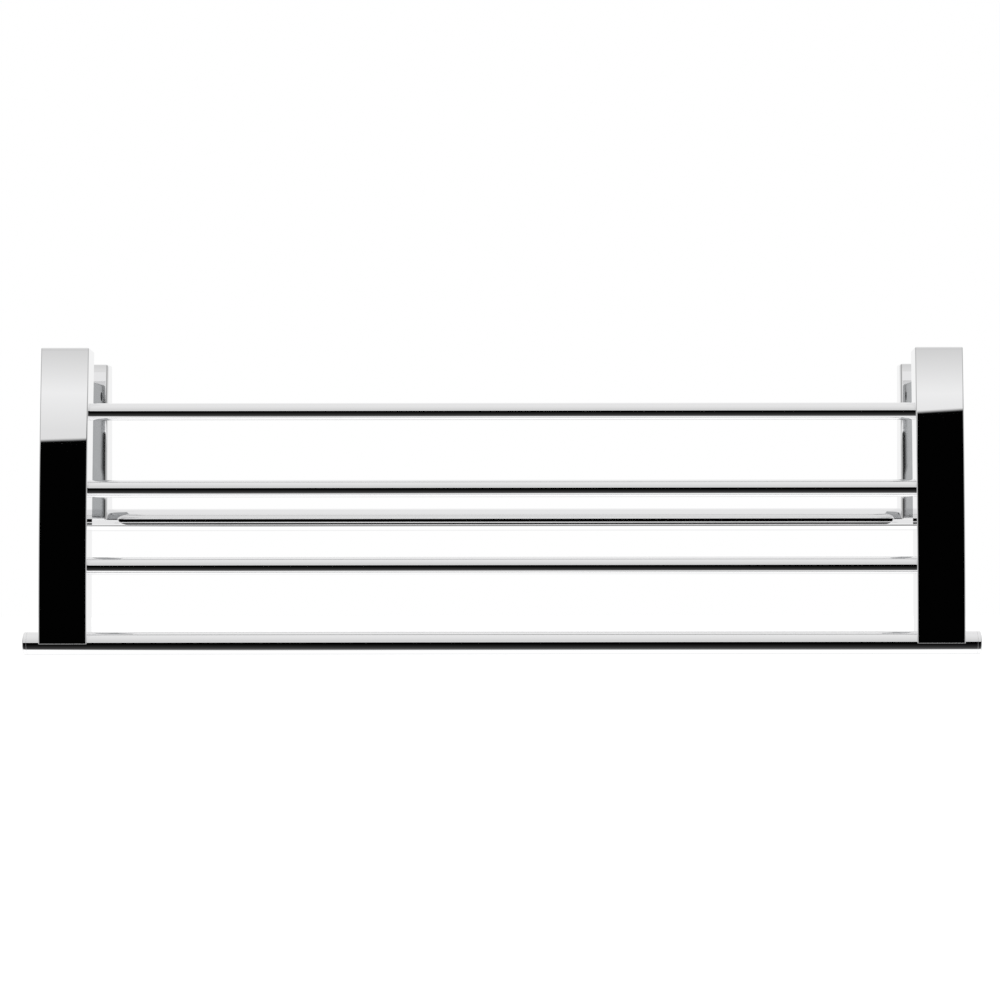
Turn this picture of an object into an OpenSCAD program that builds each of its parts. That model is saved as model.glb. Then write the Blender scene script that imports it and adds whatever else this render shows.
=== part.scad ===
// Wall-hung towel rack: two curved bands on wall arms carry three towel bars and a front rail,
// and a rear rail runs along the wall. Millimetres, +Z up, the wall is the plane y = 0 and the
// rack stands out towards -Y. The origin is the centre of the four wall-screw holes.

/* [Overall] */
// Distance between the centres of the two arms
span = 600; // [420:1:900]
// Distance from the wall to the front of the bands at their lower end
reach = 88; // [80:0.5:120]

/* [Bands] */
// Width of a band
band_w = 33; // [28:0.5:44]
// Thickness of a band
band_t = 19.5; // [18:0.5:26]
// Height of a band's lower end below the wall-screw centre
band_drop = 139.5; // [116:0.5:180]
// Height of a band's upper end above the wall-screw centre
band_rise = 63.5; // [52:0.5:78]
// Radius of the arc that a band's front follows
band_arc_r = 2000; // [1600:10:3000]
// Radius on a band's long edges
band_edge_r = 0.8; // [0.4:0.1:2]

/* [Towel bars] */
// Diameter of a towel bar
bar_d = 12; // [10:0.5:14]
// Wall of a towel bar's tube
bar_wall = 1.2; // [0.8:0.1:2]
// Height of the top bar above the wall-screw centre
top_bar_z = 19.5; // [10:0.5:26]
// Distance from one bar down to the next
bar_pitch = 53; // [44:0.5:56]
// Depth of the sockets in the bands that hold the bar ends
socket_depth = 6; // [4:0.5:9]
// Length of the plug inside a bar's end
bar_plug_len = 14; // [10:1:24]

/* [Rails] */
// Diameter of the front and rear rails
rail_d = 16; // [12:0.5:17]
// Wall of a rail's tube
rail_wall = 1.2; // [0.8:0.1:2]
// How far the rails reach past the bands
rail_overhang = 11.5; // [4:0.5:16]
// Visible thickness of a rail's end cap
cap_t = 2.7; // [2:0.1:5]
// Length of an end cap's spigot inside the tube
cap_spigot_len = 7; // [4:0.5:9]
// Length of the plug inside a rail at each rail screw
rail_plug_len = 24; // [16:1:28]

/* [Wall blocks] */
// Width of a wall block
block_w = 35.5; // [34.5:0.5:60]
// Height of a wall block
block_h = 111; // [104:0.5:140]
// Thickness of a wall block
block_t = 19.5; // [18:0.5:24]
// Radius of a wall block's corners
block_corner_r = 2; // [1:0.5:3]
// Wall of a block round its pocket
block_wall = 4; // [3:0.5:5]
// Thickness of a block's front web at the block's lower end
block_web = 9.5; // [9:0.5:11]
// Radius of the arc that a block's front follows, upright at its lower end
block_arc_r = 1100; // [1000:10:2000]
// Radius of a block's upright front edges
block_edge_r = 2; // [1:0.5:4]

/* [Arms] */
// Width of an arm
arm_w = 30.5; // [28:0.5:33]
// Height of an arm's top above the wall-screw centre
arm_rise = 41; // [38:0.5:50]
// Depth of an arm's underside below the wall-screw centre
arm_drop = 54; // [50:0.5:55]
// Radius of an arm's corners
arm_corner_r = 1.5; // [0.5:0.5:4]
// How far the lower part of an arm's flanks stands proud
flank_proud = 0.5; // [0.2:0.1:1]
// Side wall of an arm round its hollow
arm_wall = 5.5; // [4:0.5:7]
// Front wall of an arm, where the band screws pass
arm_front_wall = 6; // [5:0.5:9]

/* [Wall brackets] */
// Width of a bracket's plate
bracket_w = 28; // [24:0.5:29]
// Height of a bracket's plate
bracket_h = 86; // [80:0.5:88]
// Thickness of a bracket's plate
bracket_t = 3; // [2:0.5:4]
// Diameter of a wall-screw hole
wall_hole_d = 5.5; // [4:0.5:7]
// Distance between a bracket's upper and lower wall-screw holes
wall_hole_pitch = 36; // [30:0.5:40]
// Diameter of a bracket's studs
stud_d = 12; // [10:0.5:13]
// How far the studs reach out from the wall
stud_len = 42; // [38:0.5:46]
// Height of the upper stud above the wall-screw centre
upper_stud_z = 32; // [30:0.5:34]
// Depth of the lower stud below the wall-screw centre
lower_stud_z = 30; // [28:0.5:31]

/* [Fasteners] */
// Diameter of the screws that hold a band on its arm
band_screw_d = 6; // [5:1:8]
// Length of a band screw's shank
band_screw_len = 18; // [16:1:20]
// Diameter of the screws that hold a rail
rail_screw_d = 5; // [4:1:6]
// Length of thread that a rail screw has in a band or block
rail_screw_grip = 8; // [5:1:9]
// Diameter of the grub screws that lock the arms on the studs
arm_grub_d = 6; // [5:1:8]
// Diameter of the grub screws that lock the bars in the bands
bar_grub_d = 4; // [3:0.5:5]
// Distance of the arm grub screws from the wall
arm_grub_y = 27; // [24:0.5:34]
// Radial gap of a screw or stud in its hole
hole_clear = 0.1; // [0.05:0.05:0.2]
// Radial gap of a tube in its socket and of a plug in its tube
tube_clear = 0.05; // [0.02:0.01:0.15]

/* [Hidden] */

$fn = 48;
arc_fn = 1440;              // the large arcs need fine steps
past = 1;                   // how far a cut runs past the face that it opens

arm_x = span / 2;
band_inner_x = arm_x - band_w / 2;
band_back_r = band_arc_r - band_t;
arc_centre_y = band_arc_r - reach;
band_angle = asin((band_drop + band_rise) / band_arc_r);

// y of the middle of a band's thickness at height z
function band_mid_y(z) =
    arc_centre_y - sqrt(pow(band_arc_r - band_t / 2, 2) - pow(z + band_drop, 2));
// y of a band's back at height z
function band_back_y(z) = arc_centre_y - sqrt(pow(band_back_r, 2) - pow(z + band_drop, 2));

bar_r = bar_d / 2;
bar_zs = [for (i = [0 : 2]) top_bar_z - i * bar_pitch];
bar_half = band_inner_x + socket_depth;
bar_bore_r = bar_r - bar_wall;

rail_r = rail_d / 2;
rail_bore_r = rail_r - rail_wall;
rail_half = arm_x + band_w / 2 + rail_overhang - cap_t;
front_rail_y = -reach + band_t / 2;
front_rail_z = -band_drop;
rear_rail_y = -block_t / 2;
rear_rail_z = -block_h / 2;

// The pocket in a block's back ends above the threads of the rear rail's screw
saddle_wall = rail_screw_grip + 1;
pocket_top = block_h / 2 - block_wall;
pocket_bottom = rear_rail_z + rail_r + saddle_wall;
bracket_bottom = pocket_bottom + hole_clear;

stud_r = stud_d / 2;
stud_zs = [upper_stud_z, -lower_stud_z];
stud_bore_end = stud_len + past;

// The arm's hollow lies between its two stud bores
stud_wall = 2.5;
hollow_top = upper_stud_z - stud_r - stud_wall;
hollow_bottom = -lower_stud_z + stud_r + stud_wall;
hollow_front_y = band_back_y(arm_rise) + arm_front_wall;

// The proud part of an arm's flanks has a top edge that falls towards the wall
flank_front_z = -14;
flank_wall_z = -22;

band_screw_zs = [hollow_top - band_screw_d, hollow_bottom + band_screw_d];
band_screw_head_r = band_screw_d * 5 / 6;
rail_screw_head_r = rail_screw_d * 0.9;
rail_screw_head_h = rail_screw_head_r - rail_screw_d / 2;
hex_fn = 6;

module at_left() { translate([-arm_x, 0, 0]) children(); }
module at_right() { translate([arm_x, 0, 0]) mirror([1, 0, 0]) children(); }
module at_both() {
    at_left() children();
    at_right() children();
}

// A cylinder along +Y from y0 to y1
module along_y(r, y0, y1) { translate([0, y0, 0]) rotate([-90, 0, 0]) cylinder(r = r, h = y1 - y0); }
// A cylinder along +X from x0 to x1
module along_x(r, x0, x1) { translate([x0, 0, 0]) rotate([0, 90, 0]) cylinder(r = r, h = x1 - x0); }

// A rectangle with round corners, w by h, with its middle at the origin
module round_rect(w, h, r) {
    square([w - 2 * r, h], center = true);
    square([w, h - 2 * r], center = true);
    for (x = [-1, 1], z = [-1, 1])
        translate([x * (w / 2 - r), z * (h / 2 - r)]) circle(r = r);
}

// An upright bar of section w by h with round corners, from y0 to y1, z from low to high
module round_block(w, low, high, r, y0, y1) {
    translate([0, y1, (low + high) / 2]) rotate([90, 0, 0])
        linear_extrude(y1 - y0) round_rect(w, high - low, r);
}

// A straight tube along X, centred, with its bore
module tube(r, wall, half) {
    difference() {
        along_x(r, -half, half);
        along_x(r - wall, -half - past, half + past);
    }
}

// Hexagonal key hole along +Z, h deep
module key_hole(across, h) { cylinder(r = across / sqrt(3), h = h, $fn = hex_fn); }

// Steel plate on the wall with two screw holes and two studs, for the left side
module bracket() {
    color("gainsboro") difference() {
        union() {
            translate([-bracket_w / 2, -bracket_t, bracket_bottom])
                cube([bracket_w, bracket_t, bracket_h]);
            for (z = stud_zs)
                translate([0, 0, z]) along_y(stud_r, -stud_len, -bracket_t / 2);
        }
        for (z = [-1, 1])
            translate([0, 0, z * wall_hole_pitch / 2])
                along_y(wall_hole_d / 2, -bracket_t - past, past);
    }
}

// Everything behind the arc of a block's front
module behind_block_front() {
    translate([0, block_arc_r - block_t, -block_h / 2])
        rotate([0, 90, 0]) cylinder(r = block_arc_r, h = 2 * block_w, center = true, $fn = arc_fn);
}

// Outer form of a block: a leaning front with rounded upright edges and corners
module block_form() {
    flat_w = block_w - 2 * block_edge_r;
    intersection() {
        round_block(block_w, -block_h / 2, block_h / 2, block_corner_r, -block_t, 0);
        translate([0, 0, -block_h / 2]) linear_extrude(block_h) {
            translate([-flat_w / 2, -block_t]) square([flat_w, block_t]);
            translate([-block_w / 2, -block_t + block_edge_r])
                square([block_w, block_t - block_edge_r]);
            for (x = [-1, 1])
                translate([x * flat_w / 2, -block_t + block_edge_r]) circle(r = block_edge_r);
        }
        behind_block_front();
    }
}

// Cast block against the wall: a pocket hides the bracket, the lower end rests on the rear rail
module wall_block() {
    pocket_w = bracket_w + 2 * hole_clear;
    color("silver") difference() {
        block_form();
        translate([-pocket_w / 2, -block_t + block_web, pocket_bottom])
            cube([pocket_w, block_t, pocket_top - pocket_bottom]);
        for (z = stud_zs)
            translate([0, 0, z]) along_y(stud_r + hole_clear, -block_t - past, 0);
        translate([0, rear_rail_y, rear_rail_z]) along_x(rail_r, -block_w, block_w);
        translate([0, rear_rail_y, rear_rail_z])
            cylinder(r = rail_screw_d / 2 + hole_clear, h = rail_r + rail_screw_grip);
    }
}

// Outer form of an arm, from the block's leaning front to the curved back of the band
module arm_form() {
    base = -arm_drop + arm_corner_r;
    difference() {
        intersection() {
            union() {
                round_block(arm_w, -arm_drop, arm_rise, arm_corner_r, -reach, 0);
                translate([-arm_w / 2 - flank_proud, 0, 0]) rotate([90, 0, 90])
                    linear_extrude(arm_w + 2 * flank_proud)
                        polygon([
                            [-reach, base], [0, base], [0, flank_wall_z],
                            [-block_t, flank_wall_z], [-reach, flank_front_z]
                        ]);
            }
            translate([0, arc_centre_y, -band_drop])
                rotate([0, 90, 0])
                    cylinder(r = band_back_r, h = block_w, center = true, $fn = arc_fn);
        }
        behind_block_front();
    }
}

// Cast arm with a hollow that opens towards the wall and a bore for each stud
module arm() {
    color("silver") difference() {
        arm_form();
        translate([-arm_w / 2 + arm_wall, hollow_front_y, hollow_bottom])
            cube([arm_w - 2 * arm_wall, reach, hollow_top - hollow_bottom]);
        for (z = stud_zs)
            translate([0, 0, z]) along_y(stud_r + hole_clear, -stud_bore_end, 0);
        for (z = band_screw_zs)
            translate([0, 0, z]) along_y(band_screw_d / 2 + hole_clear, -reach, 0);
        for (z = stud_zs)
            translate([0, -arm_grub_y, z]) along_x(arm_grub_d / 2 + hole_clear, 0, arm_w);
    }
}

// Curved band: a round-edged section swept on a large arc, vertical at its lower end
module band() {
    color("silver") difference() {
        translate([0, arc_centre_y, -band_drop])
            rotate([-90, 0, 0]) rotate([0, 90, 0]) rotate([0, 0, -band_angle])
                rotate_extrude(angle = band_angle, $fn = arc_fn)
                    translate([band_arc_r - band_t / 2, 0]) round_rect(band_t, band_w, band_edge_r);
        translate([0, front_rail_y, front_rail_z]) along_x(rail_r, -band_w, band_w);
        translate([0, front_rail_y, front_rail_z])
            cylinder(r = rail_screw_d / 2 + hole_clear, h = rail_r + rail_screw_grip);
        for (z = bar_zs)
            translate([0, band_mid_y(z), z]) {
                along_x(bar_r + tube_clear, band_w / 2 - socket_depth, band_w);
                translate([bar_grub_x(), 0, 0]) along_y(bar_grub_d / 2 + hole_clear, 0, band_t);
            }
        for (z = band_screw_zs)
            translate([0, 0, z])
                along_y(band_screw_d / 2 + hole_clear, hollow_front_y - band_screw_len - past, 0);
    }
}

// Distance of a bar's grub screw from the band's centre
function bar_grub_x() = band_w / 2 - socket_depth / 2;

module towel_bar(z) {
    color("gainsboro") translate([0, band_mid_y(z), z]) tube(bar_r, bar_wall, bar_half);
}

// Tube with a countersunk hole below and a plain hole above at each rail screw
module rail() {
    color("gainsboro") difference() {
        tube(rail_r, rail_wall, rail_half);
        at_both() rail_screw_hole();
    }
}

// End cap with a spigot in the tube; its outer rim is turned to a soft edge
module rail_cap() {
    rim = 0.8;
    color("gainsboro") rotate([0, -90, 0]) {
        rotate_extrude() {
            square([rail_r, cap_t - rim]);
            square([rail_r - rim, cap_t]);
            translate([rail_r - rim, cap_t - rim]) intersection() {
                circle(r = rim);
                square(rim);
            }
        }
        translate([0, 0, -cap_spigot_len]) cylinder(r = rail_bore_r - tube_clear, h = cap_spigot_len);
    }
}

// Solid slug in each bar's end, for the grub screws to bear on
module bar_plugs() {
    color("darkkhaki") for (z = bar_zs)
        at_both() translate([band_w / 2 - socket_depth, band_mid_y(z), z])
            along_x(bar_bore_r - tube_clear, 0, bar_plug_len);
}

// Hole along Z through the middle of a rail, countersunk below for a rail screw's head
module rail_screw_hole() {
    cylinder(r = rail_screw_d / 2 + hole_clear, h = rail_d, center = true);
    translate([0, 0, -rail_r])
        cylinder(r1 = rail_screw_head_r, r2 = rail_screw_d / 2, h = rail_screw_head_h);
}

module rail_plug() {
    difference() {
        along_x(rail_bore_r - tube_clear, -rail_plug_len / 2, rail_plug_len / 2);
        rail_screw_hole();
    }
}

module rail_plugs() {
    color("darkkhaki") at_both() {
        translate([0, front_rail_y, front_rail_z]) rail_plug();
        translate([0, rear_rail_y, rear_rail_z]) rail_plug();
    }
}

// Countersunk screw up through a rail, its head in the rail's underside
module rail_screw() {
    key = rail_screw_d * 0.6;
    flush = rail_r - sqrt(pow(rail_r, 2) - pow(rail_screw_head_r, 2));
    difference() {
        union() {
            translate([0, 0, -rail_r])
                cylinder(r1 = rail_screw_head_r, r2 = rail_screw_d / 2, h = rail_screw_head_h);
            translate([0, 0, -rail_r])
                cylinder(r = rail_screw_d / 2, h = rail_d + rail_screw_grip - past);
        }
        translate([0, 0, -rail_r - past]) cylinder(r = rail_d, h = past + flush);
        translate([0, 0, -rail_r]) key_hole(key, flush + key);
    }
}

module rail_screws() {
    color("dimgray") at_both() {
        translate([0, front_rail_y, front_rail_z]) rail_screw();
        translate([0, rear_rail_y, rear_rail_z]) rail_screw();
    }
}

// Cap screw from the arm's hollow forward into the band
module band_screw() {
    key = band_screw_d * 5 / 6;
    rotate([90, 0, 0]) difference() {
        union() {
            cylinder(r = band_screw_d / 2, h = band_screw_len);
            translate([0, 0, -band_screw_d]) cylinder(r = band_screw_head_r, h = band_screw_d);
        }
        translate([0, 0, -band_screw_d]) key_hole(key, band_screw_d / 2);
    }
}

module band_screws() {
    color("dimgray") at_both() for (z = band_screw_zs)
        translate([0, hollow_front_y, z]) band_screw();
}

// Grub screw along +Z with its point at the origin and a key hole at its outer end
module grub_screw(d, len) {
    difference() {
        cylinder(r = d / 2, h = len);
        translate([0, 0, len / 2]) key_hole(d / 2, len);
    }
}

module arm_grub_screws() {
    recess = 1.5;
    color("dimgray") at_both() for (z = stud_zs)
        translate([stud_r, -arm_grub_y, z]) rotate([0, 90, 0])
            grub_screw(arm_grub_d, arm_w / 2 - stud_r - recess);
}

module bar_grub_screws() {
    recess = 0.5;
    color("dimgray") at_both() for (z = bar_zs)
        translate([bar_grub_x(), band_mid_y(z) + bar_r, z]) rotate([-90, 0, 0])
            grub_screw(bar_grub_d, band_t / 2 - bar_r - recess);
}

at_left() bracket();  // bracket_left
at_right() bracket();  // bracket_right
at_left() wall_block();  // wall_block_left
at_right() wall_block();  // wall_block_right
at_left() arm();  // arm_left
at_right() arm();  // arm_right
at_left() band();  // band_left
at_right() band();  // band_right
towel_bar(bar_zs[0]);  // top_bar
towel_bar(bar_zs[1]);  // middle_bar
towel_bar(bar_zs[2]);  // lower_bar
translate([0, front_rail_y, front_rail_z]) rail();  // front_rail
translate([0, rear_rail_y, rear_rail_z]) rail();  // rear_rail
translate([-rail_half, front_rail_y, front_rail_z]) rail_cap();  // front_cap_left
translate([rail_half, front_rail_y, front_rail_z]) mirror([1, 0, 0]) rail_cap();  // front_cap_right
translate([-rail_half, rear_rail_y, rear_rail_z]) rail_cap();  // rear_cap_left
translate([rail_half, rear_rail_y, rear_rail_z]) mirror([1, 0, 0]) rail_cap();  // rear_cap_right
bar_plugs();
rail_plugs();
rail_screws();
band_screws();
arm_grub_screws();
bar_grub_screws();
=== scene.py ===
import math
import bmesh
import bpy
from mathutils import Matrix, Vector


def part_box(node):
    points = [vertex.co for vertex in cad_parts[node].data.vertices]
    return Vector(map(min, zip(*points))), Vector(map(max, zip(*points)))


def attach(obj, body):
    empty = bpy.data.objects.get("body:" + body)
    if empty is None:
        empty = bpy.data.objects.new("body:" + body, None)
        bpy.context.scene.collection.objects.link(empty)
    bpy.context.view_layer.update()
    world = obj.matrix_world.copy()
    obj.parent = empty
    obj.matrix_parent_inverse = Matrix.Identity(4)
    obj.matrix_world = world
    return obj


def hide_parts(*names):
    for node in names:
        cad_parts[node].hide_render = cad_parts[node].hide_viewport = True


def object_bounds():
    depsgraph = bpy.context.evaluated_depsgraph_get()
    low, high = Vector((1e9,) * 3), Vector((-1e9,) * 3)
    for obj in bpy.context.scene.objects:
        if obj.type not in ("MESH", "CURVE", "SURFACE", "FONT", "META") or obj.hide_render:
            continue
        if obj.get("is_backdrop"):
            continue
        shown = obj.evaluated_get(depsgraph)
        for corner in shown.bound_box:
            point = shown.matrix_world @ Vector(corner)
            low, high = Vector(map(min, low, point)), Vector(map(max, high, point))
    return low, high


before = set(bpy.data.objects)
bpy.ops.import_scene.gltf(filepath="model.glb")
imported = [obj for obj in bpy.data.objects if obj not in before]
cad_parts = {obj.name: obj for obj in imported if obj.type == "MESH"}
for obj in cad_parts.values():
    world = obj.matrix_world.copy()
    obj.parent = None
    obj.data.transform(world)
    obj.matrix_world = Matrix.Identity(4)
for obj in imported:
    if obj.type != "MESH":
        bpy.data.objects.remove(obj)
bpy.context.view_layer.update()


# ---------------------------------------------------------------- wall brackets
# A bracket is a pressed steel plate with two wall-screw holes and two studs riveted through it,
# zinc plated and passivated. It is screwed to the wall and the block hides it: only its back
# can be seen, inside the block's pocket.
SIDES = {"left": -1, "right": 1}


def new_finish(name, color, metallic, roughness):
    """A material with one Principled shader. Returns it with its tree, shader and coordinates."""
    material = bpy.data.materials.new(name)
    material.use_nodes = True
    tree = material.node_tree
    shader = tree.nodes["Principled BSDF"]
    shader.inputs["Base Color"].default_value = (*color, 1.0)
    shader.inputs["Metallic"].default_value = metallic
    shader.inputs["Roughness"].default_value = roughness
    place = tree.nodes.new("ShaderNodeTexCoord").outputs["Object"]
    return material, tree, shader, place


def noise(tree, place, per_metre, stretch=(1, 1, 1), detail=4.0):
    """Noise of that many cells to a metre, drawn out by stretch along each axis."""
    spread = tree.nodes.new("ShaderNodeMapping")
    spread.inputs["Scale"].default_value = stretch
    cells = tree.nodes.new("ShaderNodeTexNoise")
    cells.inputs["Scale"].default_value = per_metre
    cells.inputs["Detail"].default_value = detail
    tree.links.new(place, spread.inputs["Vector"])
    tree.links.new(spread.outputs["Vector"], cells.inputs["Vector"])
    return cells.outputs["Fac"]


def drive(tree, source, target, low, high, start=0.3, end=0.7):
    """Sends source, between start and end, to target as low to high."""
    span = tree.nodes.new("ShaderNodeMapRange")
    span.inputs["From Min"].default_value = start
    span.inputs["From Max"].default_value = end
    span.inputs["To Min"].default_value = low
    span.inputs["To Max"].default_value = high
    tree.links.new(source, span.inputs["Value"])
    tree.links.new(span.outputs["Result"], target)


def emboss(tree, shader, source, height):
    """Raises the surface by up to height metres where source is bright."""
    bump = tree.nodes.new("ShaderNodeBump")
    bump.inputs["Strength"].default_value = 1.0
    bump.inputs["Distance"].default_value = height
    tree.links.new(source, bump.inputs["Height"])
    tree.links.new(bump.outputs["Normal"], shader.inputs["Normal"])


def tint(tree, shader, source, dark, light):
    """Colours the surface from dark to light along source."""
    mix = tree.nodes.new("ShaderNodeMix")
    mix.data_type = "RGBA"
    mix.inputs["A"].default_value = (*dark, 1.0)
    mix.inputs["B"].default_value = (*light, 1.0)
    tree.links.new(source, mix.inputs["Factor"])
    tree.links.new(mix.outputs["Result"], shader.inputs["Base Color"])


def cover(node, material):
    """Gives a CAD node that stays its finish."""
    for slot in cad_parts[node].material_slots:
        slot.material = material


zinc, tree, shader, place = new_finish("zinc_plated_steel", (0.6, 0.61, 0.6), 1.0, 0.34)
grain = noise(tree, place, 900, detail=3.0)
tint(tree, shader, noise(tree, place, 70), (0.52, 0.54, 0.55), (0.70, 0.69, 0.62))
drive(tree, grain, shader.inputs["Roughness"], 0.26, 0.46)
emboss(tree, shader, grain, 0.00002)
for side in SIDES:
    cover(f"bracket_{side}", zinc)


# ---------------------------------------------------------------- wall blocks
# Each block is a zinc casting, polished and chrome plated. Its front leans back on a large arc
# and has round upright edges, its pocket hides the bracket, and its lower end sits over the
# rear rail in a half-round saddle.
BLOCK_ARC = 1.1
BLOCK_EDGE = 0.002
BLOCK_CORNER_SHARE = 0.9
BLOCK_RIM_SHARE = 0.35
BLOCK_ROWS = 28
BLOCK_WEB = 0.0095
BLOCK_POCKET_WALL = 0.004
POCKET_SIDE_GAP = 0.0001
STUD_HOLE_R = 0.0061
STUD_HOLE_STOP = 0.004
PAST = 0.01
SADDLE_HALF = 0.05
DRILL_STEPS = 64
SHARP = math.radians(35)


def chrome(name, color, roughness, wave_height, wave_per_metre, stretch=(1, 1, 1)):
    """Polished chrome plate: a faint long wave from the polishing wheel, and hazy wiping marks."""
    material, tree, shader, place = new_finish(name, color, 1.0, roughness)
    wave = noise(tree, place, wave_per_metre, stretch, detail=1.0)
    haze = noise(tree, place, 26, (1, 1, 0.35), detail=6.0)
    drive(tree, haze, shader.inputs["Roughness"], roughness * 0.7, roughness * 1.6, 0.4, 0.75)
    emboss(tree, shader, wave, wave_height)
    return material


def new_piece(name, build, material):
    """An object from a bmesh that build fills in, with normals outward and a smooth surface."""
    form = bmesh.new()
    build(form)
    bmesh.ops.recalc_face_normals(form, faces=form.faces)
    for face in form.faces:
        face.smooth = True
    mesh = bpy.data.meshes.new(name)
    form.to_mesh(mesh)
    form.free()
    mesh.materials.append(material)
    piece = bpy.data.objects.new(name, mesh)
    bpy.context.scene.collection.objects.link(piece)
    return piece


def rod(start, end, radius):
    """A straight round cutter from start to end, for drilling."""
    start, end = Vector(start), Vector(end)
    along = end - start
    form = bmesh.new()
    turn = Vector((0, 0, 1)).rotation_difference(along).to_matrix().to_4x4()
    bmesh.ops.create_cone(
        form, cap_ends=True, segments=DRILL_STEPS, depth=along.length,
        radius1=radius, radius2=radius,
        matrix=Matrix.Translation((start + end) / 2) @ turn)
    mesh = bpy.data.meshes.new("cutter")
    form.to_mesh(mesh)
    form.free()
    return bpy.data.objects.new("cutter", mesh)


def slab(low, high):
    """A square-cornered cutter between two corners."""
    form = bmesh.new()
    low, high = Vector(low), Vector(high)
    middle = Matrix.Translation((low + high) / 2)
    bmesh.ops.create_cube(form, size=1.0, matrix=middle @ Matrix.Diagonal((*(high - low), 1.0)))
    mesh = bpy.data.meshes.new("cutter")
    form.to_mesh(mesh)
    form.free()
    return bpy.data.objects.new("cutter", mesh)


def saddle(middle_x, axis, radius):
    """A cutter for the half-round seat of a rail that lies along X on that axis."""
    return rod(*((middle_x + way * SADDLE_HALF, axis.y, axis.z) for way in (-1, 1)), radius)


def settle(piece):
    """Replaces a piece's mesh by what its modifiers make of it, and removes them."""
    bpy.context.view_layer.update()
    depsgraph = bpy.context.evaluated_depsgraph_get()
    mesh = bpy.data.meshes.new_from_object(
        piece.evaluated_get(depsgraph), preserve_all_data_layers=True, depsgraph=depsgraph)
    piece.modifiers.clear()
    piece.data = mesh
    mesh.name = piece.name


def machine(piece, edge, cutters, steps=4):
    """Softens the weighted edges, drills with the cutters, and keeps the flat faces flat."""
    soften = piece.modifiers.new("soften", "BEVEL")
    soften.limit_method = "WEIGHT"
    soften.width = edge
    soften.segments = steps
    soften.use_clamp_overlap = False
    for cutter in cutters:
        bpy.context.scene.collection.objects.link(cutter)
        drill = piece.modifiers.new("drill", "BOOLEAN")
        drill.operation = "DIFFERENCE"
        drill.solver = "EXACT"
        drill.object = cutter
    settle(piece)
    for cutter in cutters:
        bpy.data.objects.remove(cutter)
    piece.data.set_sharp_from_angle(angle=SHARP)
    flatten = piece.modifiers.new("flatten", "WEIGHTED_NORMAL")
    flatten.keep_sharp = True
    flatten.weight = 100
    settle(piece)


cast_chrome = chrome("cast_chrome", (0.90, 0.90, 0.905), 0.02, 0.0000006, 160)
rear_low, rear_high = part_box("rear_rail")
rear_axis = (rear_low + rear_high) / 2
rail_r = (rear_high.z - rear_low.z) / 2
grub_low, grub_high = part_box("arm_grub_screws")
arm_grub_r = (grub_high.y - grub_low.y) / 2
stud_zs = (grub_high.z - arm_grub_r, grub_low.z + arm_grub_r)


def block_front(y, low_z, z):
    """y of a block's front at height z, for a block whose lower end is at low_z and y."""
    return y + BLOCK_ARC - math.sqrt(BLOCK_ARC ** 2 - (z - low_z) ** 2)


for side in SIDES:
    low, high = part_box(f"wall_block_{side}")
    middle_x = (low.x + high.x) / 2

    def block_form(form):
        rings = []
        for row in range(BLOCK_ROWS + 1):
            z = low.z + (high.z - low.z) * row / BLOCK_ROWS
            front = block_front(low.y, low.z, z)
            corners = ((low.x, front), (high.x, front), (high.x, high.y), (low.x, high.y))
            rings.append([form.verts.new((x, y, z)) for x, y in corners])
        for near, far in zip(rings, rings[1:]):
            for i in range(4):
                j = (i + 1) % 4
                form.faces.new((near[i], near[j], far[j], far[i]))
        form.faces.new(rings[0])
        form.faces.new(rings[-1])
        soft = form.edges.layers.float.new("bevel_weight_edge")
        for near, far in zip(rings, rings[1:]):
            for i in (0, 1):
                form.edges.get((near[i], far[i]))[soft] = 1.0
        for ring in (rings[0], rings[-1]):
            form.edges.get((ring[0], ring[1]))[soft] = BLOCK_RIM_SHARE
            form.edges.get((ring[1], ring[2]))[soft] = BLOCK_CORNER_SHARE
            form.edges.get((ring[3], ring[0]))[soft] = BLOCK_CORNER_SHARE

    block = new_piece(f"block_casting_{side}", block_form, cast_chrome)
    bracket_low, bracket_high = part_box(f"bracket_{side}")
    pocket_low = (bracket_low.x - POCKET_SIDE_GAP, low.y + BLOCK_WEB, bracket_low.z - POCKET_SIDE_GAP)
    pocket_high = (bracket_high.x + POCKET_SIDE_GAP, high.y + PAST, high.z - BLOCK_POCKET_WALL)
    cutters = [slab(pocket_low, pocket_high), saddle(middle_x, rear_axis, rail_r)]
    for z in stud_zs:
        mouth = (middle_x, low.y - PAST, z)
        cutters.append(rod(mouth, (middle_x, high.y - STUD_HOLE_STOP, z), STUD_HOLE_R))
    machine(block, BLOCK_EDGE, cutters, steps=8)
    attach(block, "root")
    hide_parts(f"wall_block_{side}")


# ---------------------------------------------------------------- rear rail
# Drawn brass tube, chrome plated, running behind the arms under both wall blocks. A lathe-turned
# cap closes each end, and one countersunk screw from below holds it at each block.
TUBE_WALL = 0.0012
TUBE_RIM = 0.0002
TUBE_SHARP = math.radians(50)
TUBE_MERGE = 0.000001
CAP_SPIGOT = 0.007
CAP_RIM = 0.0008
CAP_GROOVE = 0.0001
SPIGOT_GAP = 0.00005
RIM_STEPS = 6
LATHE_STEPS = 96


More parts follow.
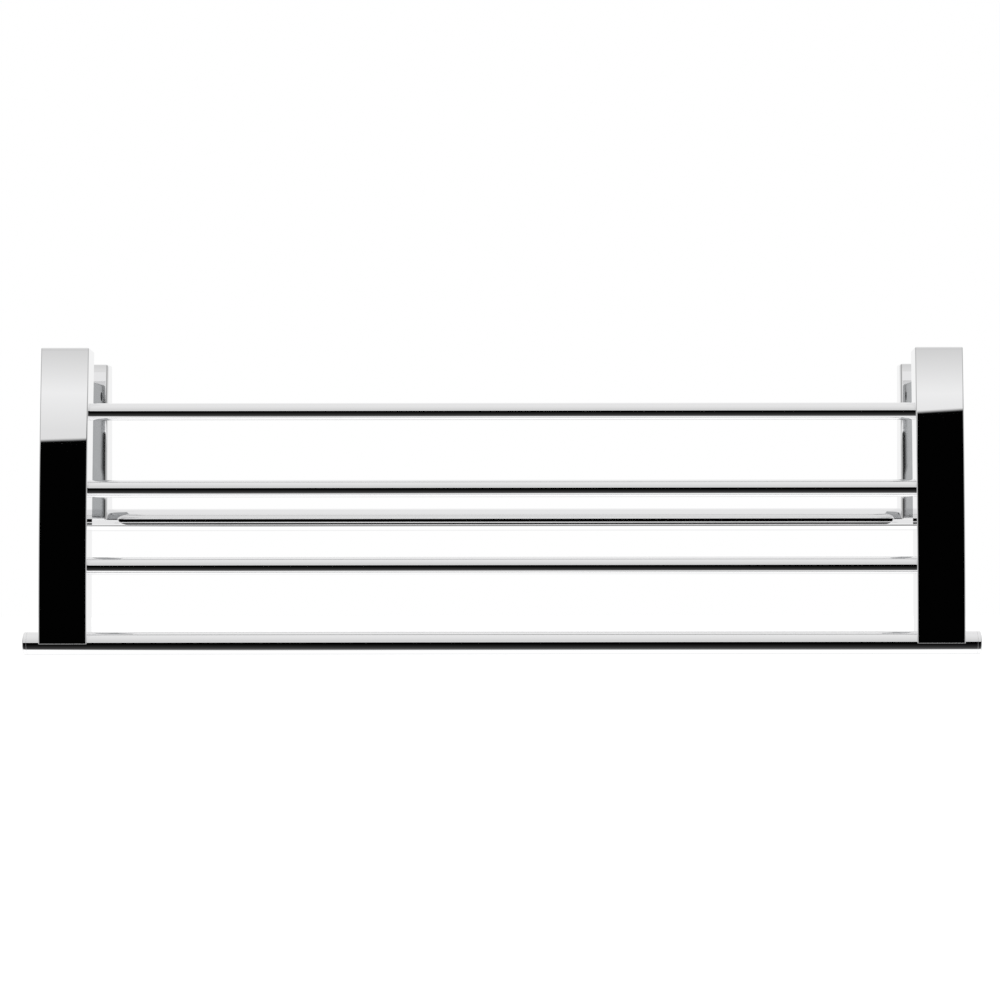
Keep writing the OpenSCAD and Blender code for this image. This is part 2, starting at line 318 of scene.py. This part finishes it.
def tube_tree():
    """Geometry nodes for a tube along X: a rim-rounded wall section carried round a circle."""
    tree = bpy.data.node_groups.new("drawn_tube", "GeometryNodeTree")
    face = tree.interface
    for name, default in (("Radius", 0.006), ("Wall", 0.001), ("Length", 0.5), ("Rim", 0.0002)):
        socket = face.new_socket(name, in_out="INPUT", socket_type="NodeSocketFloat")
        socket.default_value = default
    face.new_socket("Middle", in_out="INPUT", socket_type="NodeSocketVector")
    face.new_socket("Finish", in_out="INPUT", socket_type="NodeSocketMaterial")
    face.new_socket("Geometry", in_out="OUTPUT", socket_type="NodeSocketGeometry")
    nodes, links = tree.nodes, tree.links
    given = nodes.new("NodeGroupInput").outputs
    circle = nodes.new("GeometryNodeCurvePrimitiveCircle")
    circle.inputs["Resolution"].default_value = LATHE_STEPS
    half_wall = nodes.new("ShaderNodeMath")
    half_wall.operation = "MULTIPLY_ADD"
    half_wall.inputs[1].default_value = -0.5
    links.new(given["Wall"], half_wall.inputs[0])
    links.new(given["Radius"], half_wall.inputs[2])
    links.new(half_wall.outputs[0], circle.inputs["Radius"])
    section = nodes.new("GeometryNodeCurvePrimitiveQuadrilateral")
    links.new(given["Wall"], section.inputs["Width"])
    links.new(given["Length"], section.inputs["Height"])
    rounded = nodes.new("GeometryNodeFilletCurve")
    rounded.mode = "POLY"
    rounded.inputs["Count"].default_value = RIM_STEPS
    links.new(section.outputs["Curve"], rounded.inputs["Curve"])
    links.new(given["Rim"], rounded.inputs["Radius"])
    sweep = nodes.new("GeometryNodeCurveToMesh")
    links.new(circle.outputs["Curve"], sweep.inputs["Curve"])
    links.new(rounded.outputs["Curve"], sweep.inputs["Profile Curve"])
    lay = nodes.new("GeometryNodeTransform")
    lay.inputs["Rotation"].default_value = (0, math.pi / 2, 0)
    links.new(sweep.outputs["Mesh"], lay.inputs["Geometry"])
    links.new(given["Middle"], lay.inputs["Translation"])
    smooth = nodes.new("GeometryNodeSetShadeSmooth")
    links.new(lay.outputs["Geometry"], smooth.inputs["Geometry"])
    real = nodes.new("GeometryNodeRealizeInstances")
    links.new(smooth.outputs["Geometry"], real.inputs["Geometry"])
    paint = nodes.new("GeometryNodeSetMaterial")
    links.new(real.outputs["Geometry"], paint.inputs["Geometry"])
    links.new(given["Finish"], paint.inputs["Material"])
    result = nodes.new("NodeGroupOutput")
    links.new(paint.outputs["Geometry"], result.inputs["Geometry"])
    return tree


drawn_tube = tube_tree()


def new_tube(name, node, material):
    """A tube of the size and place of a CAD node, made by the tree and turned into a mesh."""
    low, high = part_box(node)
    piece = bpy.data.objects.new(name, bpy.data.meshes.new(name))
    bpy.context.scene.collection.objects.link(piece)
    maker = piece.modifiers.new("tube", "NODES")
    maker.node_group = drawn_tube
    given = {
        "Radius": (high.z - low.z) / 2, "Wall": TUBE_WALL, "Length": high.x - low.x,
        "Rim": TUBE_RIM, "Middle": (low + high) / 2, "Finish": material}
    for socket in drawn_tube.interface.items_tree:
        if socket.item_type == "SOCKET" and socket.in_out == "INPUT":
            maker[socket.identifier] = given[socket.name]
    settle(piece)
    form = bmesh.new()
    form.from_mesh(piece.data)
    bmesh.ops.remove_doubles(form, verts=form.verts, dist=TUBE_MERGE)
    bmesh.ops.recalc_face_normals(form, faces=form.faces)
    form.to_mesh(piece.data)
    form.free()
    piece.data.set_sharp_from_angle(angle=TUBE_SHARP)
    flatten = piece.modifiers.new("flatten", "WEIGHTED_NORMAL")
    flatten.keep_sharp = True
    settle(piece)
    return piece


def new_cap(name, node, outward, material):
    """A turned end cap: a disc with a rounded rim, a shadow groove and a spigot in the tube."""
    low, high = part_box(node)
    middle = (low + high) / 2
    radius = (high.z - low.z) / 2
    disc = (high.x - low.x) - CAP_SPIGOT
    seat = (low.x + CAP_SPIGOT) if outward > 0 else (high.x - CAP_SPIGOT)
    spigot_r = radius - TUBE_WALL - SPIGOT_GAP
    groove_r = radius - CAP_GROOVE
    outline = [(-CAP_SPIGOT, 0), (-CAP_SPIGOT, spigot_r), (0, spigot_r), (0, groove_r)]
    outline += [(CAP_GROOVE, groove_r), (CAP_GROOVE, radius)]
    for step in range(RIM_STEPS + 1):
        turn = step / RIM_STEPS * math.pi / 2
        along = disc - CAP_RIM + CAP_RIM * math.sin(turn)
        outline.append((along, radius - CAP_RIM + CAP_RIM * math.cos(turn)))
    outline.append((disc, 0))

    def cap_form(form):
        rings = []
        for along, r in outline:
            x = seat + outward * along
            if r == 0:
                rings.append([form.verts.new((x, middle.y, middle.z))])
                continue
            turns = [2 * math.pi * i / LATHE_STEPS for i in range(LATHE_STEPS)]
            rings.append([
                form.verts.new((x, middle.y + r * math.cos(t), middle.z + r * math.sin(t)))
                for t in turns])
        for near, far in zip(rings, rings[1:]):
            for i in range(LATHE_STEPS):
                j = (i + 1) % LATHE_STEPS
                if len(near) == 1:
                    form.faces.new((near[0], far[i], far[j]))
                elif len(far) == 1:
                    form.faces.new((near[i], near[j], far[0]))
                else:
                    form.faces.new((near[i], near[j], far[j], far[i]))

    cap = new_piece(name, cap_form, material)
    cap.data.set_sharp_from_angle(angle=SHARP)
    flatten = cap.modifiers.new("flatten", "WEIGHTED_NORMAL")
    flatten.keep_sharp = True
    settle(cap)
    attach(cap, "root")
    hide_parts(node)


tube_chrome = chrome("tube_chrome", (0.91, 0.91, 0.915), 0.02, 0.0000004, 300, (0.05, 1, 1))
rear_rail = new_tube("rear_rail_tube", "rear_rail", tube_chrome)
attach(rear_rail, "root")
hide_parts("rear_rail")
for side, sign in SIDES.items():
    new_cap(f"rear_rail_cap_{side}", f"rear_cap_{side}", sign, tube_chrome)


# ---------------------------------------------------------------- arms
# Each arm is a zinc casting with a satin chrome plate, duller than the polished parts, pushed
# over the bracket's studs. The lower part of its flanks stands a little proud under a sloping
# cove, its corners are rounded, and a grub screw on the inner flank locks it to each stud.
ARM_CORNER = 0.0015
ARM_END_EDGE = 0.3
FLANK_PROUD = 0.0005
COVE_HEIGHT = 0.009
COVE_FRONT_Z = -0.014
COVE_WALL_Z = -0.022
ARC_RADIUS = 2.0
BAND_T = 0.0195
ARM_ROWS = 60
ARM_RINGS = 28
ARM_END_ROW = 0.004
ARM_GRUB_GAP = 0.0001
ARM_GRUB_DEEP = 0.004
ARM_GRUB_MOUTH = 0.03

satin_chrome, tree, shader, place = new_finish("satin_chrome", (0.42, 0.42, 0.43), 1.0, 0.14)
shader.inputs["Specular Tint"].default_value = (0.66, 0.67, 0.68, 1.0)
tint(tree, shader, noise(tree, place, 30, (1, 1, 0.4)), (0.36, 0.37, 0.375), (0.48, 0.48, 0.485))
drive(tree, noise(tree, place, 600), shader.inputs["Roughness"], 0.10, 0.20)
emboss(tree, shader, noise(tree, place, 90, detail=2.0), 0.000004)
band_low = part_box("band_left")[0]
arc_y = band_low.y + ARC_RADIUS
arc_z = band_low.z
grub_y = (grub_low.y + grub_high.y) / 2


def arc_point(radius, z):
    """y of the arc of that radius about the bands' common centre, at height z."""
    return arc_y - math.sqrt(radius ** 2 - (z - arc_z) ** 2)


def flank_reach(z, share, slim):
    """Half the arm's width at height z, where share is 0 at the wall block and 1 at the band."""
    edge = COVE_WALL_Z + (COVE_FRONT_Z - COVE_WALL_Z) * share
    rise = min(max((edge - z) / COVE_HEIGHT + 0.5, 0.0), 1.0)
    return slim + FLANK_PROUD * rise * rise * (3 - 2 * rise)


for side, sign in SIDES.items():
    low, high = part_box(f"arm_{side}")
    block_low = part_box(f"wall_block_{side}")[0]
    middle_x = (low.x + high.x) / 2
    slim = (high.x - low.x) / 2 - FLANK_PROUD

    def arm_form(form):
        inner = high.z - low.z - 2 * ARM_END_ROW
        heights = [low.z] + [low.z + ARM_END_ROW + inner * i / ARM_ROWS for i in range(ARM_ROWS + 1)]
        heights.append(high.z)
        rings = []
        for ring in range(ARM_RINGS + 1):
            share = ring / ARM_RINGS
            flanks = ([], [])
            for z in heights:
                front = arc_point(ARC_RADIUS - BAND_T, z)
                base = block_front(block_low.y, block_low.z, z)
                y = base + (front - base) * share
                reach = flank_reach(z, share, slim)
                for way, column in zip((-1, 1), flanks):
                    column.append(form.verts.new((middle_x + way * reach, y, z)))
            rings.append(flanks)
        last = len(heights) - 1
        for near, far in zip(rings, rings[1:]):
            for way in (0, 1):
                for i in range(last):
                    form.faces.new((near[way][i], near[way][i + 1], far[way][i + 1], far[way][i]))
            for i in (0, last):
                form.faces.new((near[0][i], near[1][i], far[1][i], far[0][i]))
        for left, right in (rings[0], rings[-1]):
            for i in range(last):
                form.faces.new((left[i], left[i + 1], right[i + 1], right[i]))
        soft = form.edges.layers.float.new("bevel_weight_edge")
        for near, far in zip(rings, rings[1:]):
            for way in (0, 1):
                for i in (0, last):
                    form.edges.get((near[way][i], far[way][i]))[soft] = 1.0
        for flanks in (rings[0], rings[-1]):
            for way in (0, 1):
                for i in range(last):
                    form.edges.get((flanks[way][i], flanks[way][i + 1]))[soft] = ARM_END_EDGE
            for i in (0, last):
                form.edges.get((flanks[0][i], flanks[1][i]))[soft] = ARM_END_EDGE

    arm = new_piece(f"arm_casting_{side}", arm_form, satin_chrome)
    cutters = []
    for z in stud_zs:
        deep = (middle_x - sign * ARM_GRUB_DEEP, grub_y, z)
        mouth = (middle_x - sign * ARM_GRUB_MOUTH, grub_y, z)
        cutters.append(rod(deep, mouth, arm_grub_r + ARM_GRUB_GAP))
    machine(arm, ARM_CORNER, cutters)
    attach(arm, "root")
    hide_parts(f"arm_{side}")


# ---------------------------------------------------------------- screws and plugs
# The screws are stainless steel with hexagon sockets: grub screws in the arms and bands, cap
# screws inside the arms, and countersunk screws under the rails. The plugs that they bear on
# are turned brass and lie inside the tubes.
steel, tree, shader, place = new_finish("stainless_steel", (0.56, 0.56, 0.57), 1.0, 0.28)
turning = noise(tree, place, 1500, detail=2.0)
drive(tree, turning, shader.inputs["Roughness"], 0.2, 0.38)
emboss(tree, shader, turning, 0.00001)
for screws in ("arm_grub_screws", "bar_grub_screws", "rail_screws", "band_screws"):
    cover(screws, steel)

brass, tree, shader, place = new_finish("turned_brass", (0.75, 0.57, 0.28), 1.0, 0.3)
turning = noise(tree, place, 1200, (4, 1, 1), detail=2.0)
tint(tree, shader, noise(tree, place, 120), (0.62, 0.45, 0.20), (0.80, 0.63, 0.33))
drive(tree, turning, shader.inputs["Roughness"], 0.22, 0.42)
for plugs in ("bar_plugs", "rail_plugs"):
    cover(plugs, brass)


# ---------------------------------------------------------------- bands
# Each band is a thick flat bar of brass bent to a large arc, ground, polished and chrome
# plated. Its lower end stands over the front rail in a half-round saddle, the bars enter
# sockets in its inner face, and a small grub screw in its back holds each bar.
BAND_EDGE = 0.0009
BAND_FOOT_EDGE = 0.3
BAND_RINGS = 90
SOCKET_GAP = 0.00005
BAR_GRUB_R = 0.0021
BAR_GRUB_LEN = 0.02

band_chrome = chrome("band_chrome", (0.91, 0.91, 0.915), 0.008, 0.0000005, 90)
front_low, front_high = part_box("front_rail")
front_axis = (front_low + front_high) / 2
bars = {name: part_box(name) for name in ("top_bar", "middle_bar", "lower_bar")}

for side, sign in SIDES.items():
    low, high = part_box(f"band_{side}")
    middle_x = (low.x + high.x) / 2
    half_w = (high.x - low.x) / 2
    arc = math.asin((high.z - low.z) / ARC_RADIUS)

    def band_form(form):
        rings = []
        for ring in range(BAND_RINGS + 1):
            turn = arc * ring / BAND_RINGS
            corners = []
            for radius in (ARC_RADIUS, ARC_RADIUS - BAND_T):
                for way in (-1, 1):
                    y = arc_y - radius * math.cos(turn)
                    z = arc_z + radius * math.sin(turn)
                    corners.append(form.verts.new((middle_x + way * half_w, y, z)))
            rings.append([corners[i] for i in (0, 1, 3, 2)])
        for near, far in zip(rings, rings[1:]):
            for i in range(4):
                j = (i + 1) % 4
                form.faces.new((near[i], near[j], far[j], far[i]))
        form.faces.new(rings[0])
        form.faces.new(rings[-1])
        soft = form.edges.layers.float.new("bevel_weight_edge")
        for near, far in zip(rings, rings[1:]):
            for i in range(4):
                form.edges.get((near[i], far[i]))[soft] = 1.0
        for corners, amount in ((rings[0], BAND_FOOT_EDGE), (rings[-1], 1.0)):
            for i in range(4):
                form.edges.get((corners[i - 1], corners[i]))[soft] = amount

    band = new_piece(f"band_bar_{side}", band_form, band_chrome)
    inner_x = middle_x - sign * half_w
    cutters = [saddle(middle_x, front_axis, rail_r)]
    for bar_low, bar_high in bars.values():
        axis = (bar_low + bar_high) / 2
        tip = bar_high.x if sign > 0 else bar_low.x
        bar_r = (bar_high.z - bar_low.z) / 2
        mouth = (inner_x - sign * PAST, axis.y, axis.z)
        cutters.append(rod(mouth, (tip, axis.y, axis.z), bar_r + SOCKET_GAP))
        grub_x = (tip + inner_x) / 2
        grub_end = (grub_x, axis.y + BAR_GRUB_LEN, axis.z)
        cutters.append(rod((grub_x, axis.y, axis.z), grub_end, BAR_GRUB_R))
    machine(band, BAND_EDGE, cutters)
    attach(band, "root")
    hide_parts(f"band_{side}")


# ---------------------------------------------------------------- towel bars
# Three drawn brass tubes, thinner than the rails, polished and chrome plated. Their ends stand in
# the sockets of the bands, with a brass plug inside to back the tube under each grub screw.
for name in bars:
    bar = new_tube(f"{name}_tube", name, tube_chrome)
    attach(bar, "root")
    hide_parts(name)


# ---------------------------------------------------------------- front rail
# The same tube as the rear rail, under the lower ends of the bands and reaching past them, with
# a turned cap at each end and a countersunk screw from below at each band.
front_rail = new_tube("front_rail_tube", "front_rail", tube_chrome)
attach(front_rail, "root")
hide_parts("front_rail")
for side, sign in SIDES.items():
    new_cap(f"front_rail_cap_{side}", f"front_cap_{side}", sign, tube_chrome)


# ---------------------------------------------------------------- studio
# A pale floor below the rack, and a light tent all round it that the chrome mirrors: bright above,
# below and behind, grey beside the rack on the room side, and a dark opening in front, which gives
# the bands and tubes their black reflections. The backdrop itself is plain white.
FLOOR_Z = -0.42
FLOOR_HALF = 6.0
OPEN_TOP = math.radians(10.3)
OPEN_TOP_TILT = 0.087
OPEN_BOTTOM = math.radians(-72)
OPEN_SIDE = math.radians(26)
OPEN_EDGE = math.radians(0.12)
OPEN_FADE = math.radians(5)
BEHIND = (0.3, 0.8)
BESIDE = (0.3, 0.55)
ROOM_SIDE = (0.15, -0.45)
BEHIND_LEVEL = 0.95
GREY_LEVEL = 0.38
WHITE = 1.0

scene = bpy.context.scene
scene.view_settings.view_transform = "Standard"

floor_paint, tree, shader, place = new_finish("pale_floor", (0.93, 0.93, 0.93), 0.0, 0.85)
tint(tree, shader, noise(tree, place, 3), (0.92, 0.92, 0.92), (0.95, 0.95, 0.95))
shader.inputs["Emission Color"].default_value = (1, 1, 1, 1)
shader.inputs["Emission Strength"].default_value = 0.4


def floor_form(form):
    corners = [(-1, -1), (1, -1), (1, 1), (-1, 1)]
    form.faces.new([form.verts.new((x * FLOOR_HALF, y * FLOOR_HALF, FLOOR_Z)) for x, y in corners])


floor = new_piece("floor", floor_form, floor_paint)
floor.visible_glossy = False
floor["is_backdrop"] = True

world = bpy.data.worlds.new("light_tent")
world.use_nodes = True
scene.world = world
tree = world.node_tree
tree.nodes.clear()


def math_node(operation, *values):
    """A math node of that operation on numbers or sockets. Returns its output."""
    step = tree.nodes.new("ShaderNodeMath")
    step.operation = operation
    for i, value in enumerate(values):
        if isinstance(value, (int, float)):
            step.inputs[i].default_value = value
        else:
            tree.links.new(value, step.inputs[i])
    return step.outputs[0]


def fade(value, start, end):
    """0 where value is start and 1 where it is end, with a soft step between."""
    span = tree.nodes.new("ShaderNodeMapRange")
    span.interpolation_type = "SMOOTHSTEP"
    span.inputs["From Min"].default_value = start
    span.inputs["From Max"].default_value = end
    tree.links.new(value, span.inputs["Value"])
    return span.outputs["Result"]


way = tree.nodes.new("ShaderNodeTexCoord").outputs["Generated"]
split = tree.nodes.new("ShaderNodeSeparateXYZ")
tree.links.new(way, split.inputs["Vector"])
to_right, to_wall, up = split.outputs
elevation = math_node("ARCSINE", up)
bearing = math_node("ARCTAN2", to_right, math_node("MULTIPLY", to_wall, -1.0))
above_top = math_node("SUBTRACT", elevation, math_node("MULTIPLY_ADD", bearing, OPEN_TOP_TILT, OPEN_TOP))
below_top = fade(above_top, OPEN_EDGE, -OPEN_EDGE)
above_bottom = fade(elevation, OPEN_BOTTOM - OPEN_FADE, OPEN_BOTTOM + OPEN_FADE)
within_sides = fade(math_node("ABSOLUTE", bearing), OPEN_SIDE + OPEN_FADE, OPEN_SIDE - OPEN_FADE)
opening = math_node("MULTIPLY", math_node("MULTIPLY", below_top, above_bottom), within_sides)


def ramp(value, levels):
    """Brightness by value, along stops of place and level."""
    steps = tree.nodes.new("ShaderNodeValToRGB")
    stops = steps.color_ramp.elements
    while len(stops) < len(levels):
        stops.new(0.5)
    for stop, (place, level) in zip(stops, levels):
        stop.position = place
        stop.color = (level, level, level, 1.0)
    tree.links.new(value, steps.inputs["Fac"])
    return steps.outputs["Color"]


def blend(amount, without, full):
    """Without at amount 0 and full at amount 1. Either may be a plain brightness."""
    mix = tree.nodes.new("ShaderNodeMix")
    mix.data_type = "RGBA"
    tree.links.new(amount, mix.inputs["Factor"])
    for socket, value in ((mix.inputs["A"], without), (mix.inputs["B"], full)):
        if isinstance(value, (int, float)):
            socket.default_value = (value, value, value, 1.0)
        else:
            tree.links.new(value, socket)
    return mix.outputs["Result"]


# The tent and its side walls get their brightness by height, from straight down to straight up,
# and the dark room in the opening gets its own by elevation.
height = math_node("MULTIPLY_ADD", up, 0.5, 0.5)
tent = ramp(height, (
    (0.0, 1.15), (0.40, 1.15), (0.52, 0.85), (0.585, 0.80), (0.606, 0.93), (0.632, 0.66), (1.0, 0.86)))
room = ramp(math_node("MULTIPLY_ADD", elevation, 1 / math.pi, 0.5), (
    (0.10, 0.50), (0.167, 0.12), (0.222, 0.055), (0.278, 0.03), (0.361, 0.012), (0.46, 0.0006)))
sides = ramp(height, (
    (0.0, 1.0), (0.36, 0.90), (0.46, 0.80), (0.55, 0.80), (0.64, 0.95), (1.0, 0.80)))
behind = fade(to_wall, *BEHIND)
beside = fade(math_node("ABSOLUTE", to_right), *BESIDE)
towards_room = math_node("MULTIPLY", beside, fade(to_wall, *ROOM_SIDE))
walls = blend(beside, blend(behind, tent, BEHIND_LEVEL), sides)
shade = blend(opening, blend(towards_room, walls, GREY_LEVEL), room)
seen = tree.nodes.new("ShaderNodeLightPath").outputs["Is Camera Ray"]
light = tree.nodes.new("ShaderNodeBackground")
tree.links.new(blend(seen, shade, WHITE), light.inputs["Color"])
tree.links.new(light.outputs["Background"], tree.nodes.new("ShaderNodeOutputWorld").inputs["Surface"])

camera = bpy.data.cameras.new("camera")
camera.lens = 85.5
camera.sensor_width = 36.0
camera.shift_x = -0.0575
viewer = bpy.data.objects.new("camera", camera)
viewer.location = (0.038, -1.708, -0.0415)
viewer.rotation_euler = (math.pi / 2, math.radians(0.06), 0)
scene.collection.objects.link(viewer)
scene.camera = viewer

low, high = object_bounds()
